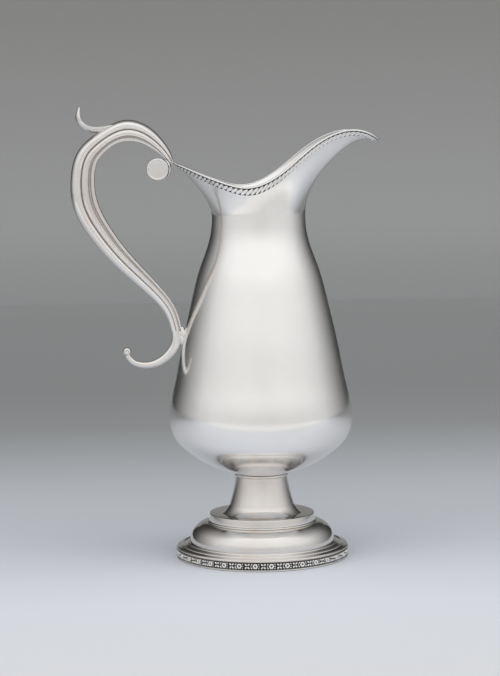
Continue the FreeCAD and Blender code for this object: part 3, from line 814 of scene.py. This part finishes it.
def make_flange():
    """Nearly flat flange between the dome and the band, with a fine fillet at each side."""
    seat = DOME_RADIUS - 3.0
    edge = FOOT_RADIUS - 1.0
    outer_fillet = (FOOT_RADIUS - 4.8, FLANGE_EDGE + 1.3)
    inner_fillet = (DOME_RADIUS + 1.3, DOME_BOTTOM + 0.2)
    place(turned("foot_flange_ring", [
        (seat, DOME_BOTTOM - FOOT_SHEET),
        (DOME_RADIUS + 1.0, DOME_BOTTOM - FOOT_SHEET),
        (edge - 3.0, BAND_TOP),
        (edge, BAND_TOP),
        (edge - 0.3, FLANGE_EDGE, (edge + 0.5, (BAND_TOP + FLANGE_EDGE) / 2)),
        (outer_fillet[0] + 0.6, FLANGE_EDGE + 0.6),
        (outer_fillet[0] - 0.6, FLANGE_EDGE + 0.9, outer_fillet),
        (inner_fillet[0] + 0.5, DOME_BOTTOM - 0.5),
        (inner_fillet[0] - 0.9, DOME_BOTTOM, inner_fillet),
        (seat, DOME_BOTTOM),
    ], edge=0.1), FOOT_SILVER, "foot_silver", "foot_flange")


def make_base_ring():
    """Wire ring that the pitcher stands on."""
    bead_ring("foot_base_ring", "foot_base_wire", FOOT_RADIUS - 0.5, 0.4, 0.0, BASE_WIRE_TOP)


# --------------------------------------------------------------------------------------- handle

class Strap:
    """Bar that follows a middle line in the plane y = 0 and changes size along it."""

    def __init__(self, stations, count):
        stations = np.array(stations)
        knots = chord_knots(stations[:, :2])
        values, directions = Curve(knots, stations).at(np.linspace(0, knots[-1], count))
        along = unit(directions[:, :2])
        self.middle = values[:, :2]
        self.outward = np.stack([along[:, 1], -along[:, 0]], axis=1)
        self.width = values[:, 2]
        self.depth = values[:, -1]
        self.count = count

    def ring(self, index, section):
        """Points of a section given as (inset from the outer edge, distance across)."""
        offset = self.width[index] / 2 - section[:, :1]
        flat = self.middle[index] + self.outward[index] * offset
        return np.stack([flat[:, 0], section[:, 1], flat[:, 1]], axis=1)

    def sweep(self, name, section, relief=None):
        """Closed piece from section(width, depth) at every step, with one relief for them all."""
        rows = [
            self.ring(index, section(self.width[index], self.depth[index]))
            for index in range(self.count)
        ]
        if relief is not None:
            relief = np.tile(relief, self.count)
        return grid_piece(name, rows, relief=relief)


# Section of the handle, as shares of its width from the outer edge and of its half depth.
LOBE_CREASE = 0.44
LOBE_CROWN = 0.92
LOBE_TURN = math.radians(130)       # turn of the outer lobe from the edge to the crease
INNER_LOBE_CROWN = (0.63, 0.90)
STRIP_START = 0.84
STEP_DEPTH = 0.56
CHANNEL_DEPTH = 0.74
STRIP_HALF_DEPTH = 0.44
STRIP_EDGE = 0.97
STRIP_OVERLAP = 0.2         # how far the strip reaches in behind the halves, in millimetres
LEAF_EDGE = 0.2             # depth of the leaf's edges, as a share of its thickness
LEAF_HOLLOW = 0.45          # depth of its hollowed upper side
TAIL_FLATTENING = 0.9       # the tail's depth across as a share of its height

# Polish of the handle: worn bright on the lobes, less on the inner one, and darkened in the crease and
# at the step by tarnish and painted shade.
OUTER_LOBE_POLISH = 0.58
INNER_LOBE_POLISH = 0.51
SPINE_POLISH = 0.45
CREASE_TARNISH_AND_SHADE = 0.25
SPINE_WIDTH = 0.02


def half_section(side):
    """Section of one hollow half: two round ribs outside and a plain channel inside."""
    def section(width, depth):
        turn = np.linspace(0, LOBE_TURN, 26)
        outer = np.stack([
            width * LOBE_CREASE * (1 - np.cos(turn)) / (1 - math.cos(LOBE_TURN)),
            side * depth * LOBE_CROWN * np.sin(turn),
        ], axis=1)
        crease = tuple(outer[-1])
        crown = (width * INNER_LOBE_CROWN[0], side * depth * INNER_LOBE_CROWN[1])
        step = (width * STRIP_START, side * depth * STEP_DEPTH)
        inner = arc_points(crease, crown, step, 22)[1:]
        land = np.array([(width * STRIP_START, 0.0)])
        channel = arc_points(
            (width * STRIP_START - HANDLE_SHEET, 0),
            (width * STRIP_START / 2, side * (depth * CHANNEL_DEPTH - HANDLE_SHEET)),
            (HANDLE_SHEET, 0),
            12,
        )
        return np.concatenate([outer, inner, land, channel])
    return section


def lobe_polish_and_crease_shade():
    """Polish of each point of the half's section, darkened at the crease and the step by tarnish and
    painted shade.
    """
    across = half_section(1)(1.0, 1.0)
    inset, depth = across[:, 0], across[:, 1]
    from_crease = np.abs(inset - LOBE_CREASE)
    from_step = np.abs(inset - STRIP_START)
    crease_width, step_width = 0.07, 0.05
    # Dark at the crease and the step: tarnish with painted shade.
    worn_and_shaded = np.minimum(CREASE_TARNISH_AND_SHADE + from_crease / crease_width, from_step / step_width)
    worn_and_shaded = np.clip(worn_and_shaded, 0, 1)
    on_inner_lobe = np.clip((inset - LOBE_CREASE) / step_width, 0, 1)
    worn_and_shaded = worn_and_shaded * (OUTER_LOBE_POLISH + (INNER_LOBE_POLISH - OUTER_LOBE_POLISH) * on_inner_lobe)
    spine = (inset < SPINE_WIDTH) | (depth <= SPINE_WIDTH)
    return np.where(spine, SPINE_POLISH, worn_and_shaded)


def strip_section(width, depth):
    """Narrow strip with a crowned face towards the fingers."""
    half = depth * STRIP_HALF_DEPTH
    crown = arc_points((width * STRIP_EDGE, -half), (width, 0), (width * STRIP_EDGE, half), 12)
    start = width * STRIP_START - STRIP_OVERLAP
    return np.concatenate([[(start, -half)], crown, [(start, half)]])


def leaf_section(thickness, half):
    """Crescent, hollowed along its upper side."""
    near, far = (thickness * LEAF_EDGE, -half), (thickness * LEAF_EDGE, half)
    under = arc_points(near, (thickness, 0), far, 20)
    upper = arc_points(far, (thickness * LEAF_HOLLOW, 0), near, 20)
    return np.concatenate([under, upper[1:-1]])


def oval_section(steps):
    """Section maker for an oval bar with the given number of points round it."""
    turn = np.linspace(0, 2 * math.pi, steps, endpoint=False)

    def section(width, depth):
        return np.stack([width / 2 * (1 - np.cos(turn)), depth * np.sin(turn)], axis=1)
    return section


def make_tail_ball():
    """Round end of the tail, with a shallow dimple in each side."""
    lip = (1.4, CURL_RADIUS * 0.88)
    dimple = arc_points(
        (0.12, CURL_RADIUS * 0.62), (0.7, CURL_RADIUS * 0.66), (1.25, CURL_RADIUS * 0.84), 8
    )
    ball = arc_points(lip, (CURL_RADIUS, 0), (lip[0], -lip[1]), 36)
    profile = np.concatenate([dimple, ball, dimple[::-1] * [1, -1]])
    piece = turned_across("tail_curl_ball", profile, CURL_X, CURL_Z)
    place(piece, HANDLE_SILVER, "handle_silver", "tail_ball")


def make_handle():
    """Hollow scroll handle of two halves and a strip, with its thumb leaf and curled tail."""
    strap = Strap(HANDLE_STATIONS, 260)
    for side, label in ((-1, "near"), (1, "far")):
        piece = strap.sweep("handle_rib_half_" + label, half_section(side), lobe_polish_and_crease_shade())
        place(piece, LOBE_SILVER, "handle_silver", "handle_%s_half" % label)
    piece = strap.sweep("handle_finger_strip", strip_section)
    place(piece, HANDLE_SILVER, "handle_silver", "handle_inner_strip")

    leaf = Strap(LEAF_STATIONS, 110)
    piece = leaf.sweep("handle_leaf", leaf_section)
    place(piece, HANDLE_SILVER, "handle_silver", "handle_thumb_leaf")

    stations = [(x, z, 2 * radius, TAIL_FLATTENING * radius) for x, z, radius in TAIL_STATIONS]
    piece = Strap(stations, 120).sweep("handle_tail_scroll", oval_section(28))
    place(piece, HANDLE_SILVER, "handle_silver", "handle_tail")
    make_tail_ball()


VOLUTE_BEAD_WIDTH = 1.5


def make_volute():
    """Drum beside the rim, with a dished and beaded cap on each end."""
    axis_gap = 0.3
    half = VOLUTE_HALF_LENGTH - 0.05
    corners = [(axis_gap, -half), (VOLUTE_RADIUS, -half), (VOLUTE_RADIUS, half), (axis_gap, half)]
    outside = softened(np.array(corners), 0.1)[ROUNDING_POINTS:-ROUNDING_POINTS]
    piece = turned_across("volute_drum", outside, VOLUTE_X, VOLUTE_Z)
    place(piece, HANDLE_SILVER, "handle_silver", "handle_volute")

    seat = VOLUTE_HALF_LENGTH
    inside = VOLUTE_RADIUS - VOLUTE_BEAD_WIDTH
    bead_middle = VOLUTE_RADIUS - VOLUTE_BEAD_WIDTH / 2
    dish = arc_points((0.1, seat + 0.1), (inside / 2, seat + 0.16), (inside, seat + 0.4), 16)
    bead = arc_points((inside, seat + 0.5), (bead_middle, CAP_TOP), (VOLUTE_RADIUS, seat + 0.5), 16)
    profile = np.concatenate([dish, bead, [(VOLUTE_RADIUS, seat), (0.1, seat)]])
    for side, label in ((-1, "near"), (1, "far")):
        piece = turned_across("volute_beaded_cap_" + label, profile, VOLUTE_X, VOLUTE_Z, side)
        place(piece, HANDLE_SILVER, "handle_silver", "volute_cap_" + label)


# Half sizes of the pad between the handle and the body, along X, Y and Z.
PAD_SEMI_AXES = (2.5, 3.0, 7.0)

# Bracket round the drum's side: angle about the drum's axis in degrees, width and half depth.
BRACKET_GAP = 1.0           # from the drum's side to the middle of the bracket
BRACKET_STEPS = [
    (60.0, 1.6, 3.8),
    (42.0, 2.4, 4.4),
    (22.0, 2.8, 4.5),
    (0.0, 2.6, 4.4),
    (-22.0, 2.0, 4.0),
    (-42.0, 1.2, 3.2),
]


def make_joints():
    """Bracket between the drum and the rim, and the small pad between the handle and the body."""
    reach = VOLUTE_RADIUS + BRACKET_GAP
    stations = [
        (
            VOLUTE_X + reach * math.cos(math.radians(angle)),
            VOLUTE_Z + reach * math.sin(math.radians(angle)),
            width,
            half_depth,
        )
        for angle, width, half_depth in BRACKET_STEPS
    ]
    piece = Strap(stations, 32).sweep("upper_bracket", oval_section(24))
    place(piece, HANDLE_SILVER, "handle_silver", "handle_upper_joint")

    half_width, half_depth, half_height = PAD_SEMI_AXES
    stations = []
    for share in np.linspace(-0.98, 0.98, 21):
        swell = math.sqrt(1 - share ** 2)
        height = PAD_Z + half_height * share
        stations.append((PAD_X, height, 2 * half_width * swell, half_depth * swell))
    piece = Strap(stations, 40).sweep("body_pad", oval_section(24))
    place(piece, HANDLE_SILVER, "handle_silver", "handle_lower_joint")


# ---------------------------------------------------------------------------------------- stage

# Floor's painted light falloff, bright in front and darker towards the back: distance behind the
# object's middle in metres, and its (red, green, blue) there.
FLOOR_PAINTED_FALLOFF = [
    (-1.20, (0.840, 0.840, 0.835)),
    (-0.46, (0.840, 0.840, 0.835)),
    (-0.35, (0.700, 0.714, 0.742)),
    (-0.16, (0.682, 0.704, 0.748)),
    (0.03, (0.578, 0.600, 0.645)),
    (0.16, (0.512, 0.532, 0.567)),
    (0.30, (0.460, 0.476, 0.500)),
    (0.46, (0.372, 0.388, 0.407)),
    (0.66, (0.282, 0.290, 0.295)),
    (0.95, (0.258, 0.264, 0.267)),
    (1.50, (0.268, 0.275, 0.279)),
    (1.90, (0.282, 0.289, 0.292)),
    (2.20, (0.312, 0.319, 0.322)),
]
FLOOR_LEVEL = 1.17          # factor on all the floor's greys

# Backdrop's painted light falloff, lightest a little above the floor and dark at the top: height in
# metres, and its (red, green, blue) there.
BACKDROP_PAINTED_FALLOFF = [
    (0.00, (0.356, 0.365, 0.369)),
    (0.07, (0.382, 0.390, 0.390)),
    (0.13, (0.411, 0.417, 0.416)),
    (0.18, (0.407, 0.412, 0.410)),
    (0.33, (0.357, 0.360, 0.356)),
    (0.54, (0.294, 0.296, 0.282)),
    (0.64, (0.050, 0.050, 0.050)),
]
BACKDROP_LEVEL = 1.15

FLOOR_SIDE = 3.0
FLOOR_BACK = 2.2
FLOOR_FRONT = -2.6
FLOOR_HEIGHT = -0.0002      # just under the foot, so that the two faces don't coincide
BACKDROP_LEFT, BACKDROP_RIGHT, BACKDROP_TOP = -0.62, 0.85, 0.85


def stage_piece(name, corners, material):
    """Flat sheet of the stage through the corners, in metres."""
    mesh = bpy.data.meshes.new(name)
    mesh.from_pydata(corners, [], [tuple(range(len(corners)))])
    piece = bpy.data.objects.new(name, mesh)
    bpy.context.scene.collection.objects.link(piece)
    mesh.materials.append(material)


def painted_falloff_stage(name, axis, painted_falloff, level):
    """Matt material whose grey, painted light falloff, runs along one axis of the stage."""
    material = bpy.data.materials.new(name)
    material.use_nodes = True
    tree = material.node_tree
    shader = tree.nodes["Principled BSDF"]
    shader.inputs["Roughness"].default_value = 0.9
    shader.inputs["Specular IOR Level"].default_value = 0.1
    where = node(tree, "ShaderNodeTexCoord").outputs["Object"]
    split = node(tree, "ShaderNodeSeparateXYZ", Vector=where)
    first, last = painted_falloff[0][0], painted_falloff[-1][0]
    along = span(tree, split.outputs[axis], first, last, 0.0, 1.0)
    stops = [
        ((position - first) / (last - first), tuple(level * c for c in colour))
        for position, colour in painted_falloff
    ]
    tree.links.new(ramp(tree, along, stops), shader.inputs["Base Color"])
    return material


def make_stage():
    """Pale floor that darkens towards a grey backdrop, both with painted light falloff."""
    stage_piece("floor", [
        (-FLOOR_SIDE, FLOOR_FRONT, FLOOR_HEIGHT),
        (FLOOR_SIDE, FLOOR_FRONT, FLOOR_HEIGHT),
        (FLOOR_SIDE, FLOOR_BACK, FLOOR_HEIGHT),
        (-FLOOR_SIDE, FLOOR_BACK, FLOOR_HEIGHT),
    ], painted_falloff_stage("floor_paper_painted_falloff", "Y", FLOOR_PAINTED_FALLOFF, FLOOR_LEVEL))
    stage_piece("backdrop", [
        (BACKDROP_LEFT, FLOOR_BACK, FLOOR_HEIGHT),
        (BACKDROP_RIGHT, FLOOR_BACK, FLOOR_HEIGHT),
        (BACKDROP_RIGHT, FLOOR_BACK, BACKDROP_TOP),
        (BACKDROP_LEFT, FLOOR_BACK, BACKDROP_TOP),
    ], painted_falloff_stage("wall_paper_painted_falloff", "Z", BACKDROP_PAINTED_FALLOFF, BACKDROP_LEVEL))


# Brightness of the tent from in front (0) to behind the object (1), at the sides and overhead.
SIDE_GREYS = [
    (0.00, (0.68, 0.68, 0.675)),
    (0.06, (0.715, 0.715, 0.71)),
    (0.28, (0.70, 0.70, 0.70)),
    (0.46, (0.62, 0.62, 0.62)),
    (0.69, (0.34, 0.34, 0.34)),
    (0.88, (0.09, 0.09, 0.09)),
    (0.95, (0.04, 0.04, 0.04)),
]
TOP_GREYS = [
    (0.40, (1.08, 1.08, 1.08)),
    (0.52, (0.72, 0.72, 0.72)),
    (0.66, (0.34, 0.34, 0.34)),
    (0.90, (0.10, 0.10, 0.10)),
]


def make_world():
    """Soft white tent: bright in front, at the sides and above, dark behind the backdrop."""
    world = bpy.data.worlds.new("tent")
    bpy.context.scene.world = world
    world.use_nodes = True
    tree = world.node_tree
    direction = node(tree, "ShaderNodeTexCoord").outputs["Generated"]
    split = node(tree, "ShaderNodeSeparateXYZ", Vector=direction)
    behind = span(tree, split.outputs["Y"], -1.0, 1.0, 0.0, 1.0)
    brighter_up = span(tree, split.outputs["Z"], 0.12, 0.5, 1.0, 1.36)
    sides = node(tree, "ShaderNodeVectorMath", Vector=ramp(tree, behind, SIDE_GREYS))
    sides.operation = "SCALE"
    tree.links.new(brighter_up, sides.inputs["Scale"])
    overhead = span(tree, split.outputs["Z"], 0.60, 0.90, 0.0, 1.0)
    colour = mix_colour(tree, overhead, sides.outputs["Vector"], ramp(tree, behind, TOP_GREYS))
    background = tree.nodes["Background"]
    tree.links.new(colour, background.inputs["Color"])
    background.inputs["Strength"].default_value = 1.0


LIGHT_TARGET = Vector((0.0, 0.0, 0.17))

# Soft boxes: name, place in metres, (width, height) in metres and power in watts.
SOFTBOXES = [
    ("softbox_left", (-1.15, -0.75, 0.75), (0.7, 0.9), 2.2),
    ("softbox_right", (1.25, -0.55, 0.65), (0.5, 0.9), 1.8),
    ("softbox_top", (0.1, -0.25, 1.5), (1.2, 0.8), 2.5),
]


def make_lights():
    """Weak soft boxes that shape the shadow, and don't show in the silver."""
    for name, location, size, power in SOFTBOXES:
        data = bpy.data.lights.new(name, "AREA")
        data.shape = "RECTANGLE"
        data.size, data.size_y = size
        data.energy = power
        lamp = bpy.data.objects.new(name, data)
        bpy.context.scene.collection.objects.link(lamp)
        lamp.location = location
        lamp.visible_glossy = False
        lamp.rotation_mode = "QUATERNION"
        lamp.rotation_quaternion = (LIGHT_TARGET - Vector(location)).to_track_quat("-Z", "Y")


# --------------------------------------------------------------------------------------- camera

# Places in metres, lens and sensor in millimetres.
CAMERA_PLACE = Vector((-0.0851, -1.4896, 0.3048))
CAMERA_TARGET = Vector((-0.0070, 0.0009, 0.1558))
CAMERA_ROLL = math.radians(-0.7)
CAMERA_LENS = 112.5
CAMERA_SENSOR = 36.0
CAMERA_RANGE = (0.05, 20.0)


def make_camera():
    """Long lens level with the mouth, looking slightly down at the pitcher's middle."""
    data = bpy.data.cameras.new("camera")
    data.sensor_width = CAMERA_SENSOR
    data.sensor_fit = "AUTO"
    data.lens = CAMERA_LENS
    data.clip_start, data.clip_end = CAMERA_RANGE
    camera = bpy.data.objects.new("camera", data)
    bpy.context.scene.collection.objects.link(camera)
    camera.location = CAMERA_PLACE
    camera.rotation_mode = "QUATERNION"
    facing = (CAMERA_TARGET - CAMERA_PLACE).to_track_quat("-Z", "Y")
    camera.rotation_quaternion = facing @ Quaternion((0, 0, 1), CAMERA_ROLL)
    bpy.context.scene.camera = camera


def set_view():
    """Plain view transform, so that the greys are what the materials say."""
    settings = bpy.context.scene.view_settings
    settings.view_transform = "Standard"
    settings.look = "None"
    settings.exposure = 0.0


make_body()
make_rim_wire()
make_rim_band()
make_stem()
make_step()
make_dome()
make_flange()
make_flower_band()
make_base_ring()
make_handle()
make_volute()
make_joints()
make_stage()
make_world()
make_lights()
make_camera()
set_view()

bpy.context.view_layer.update()
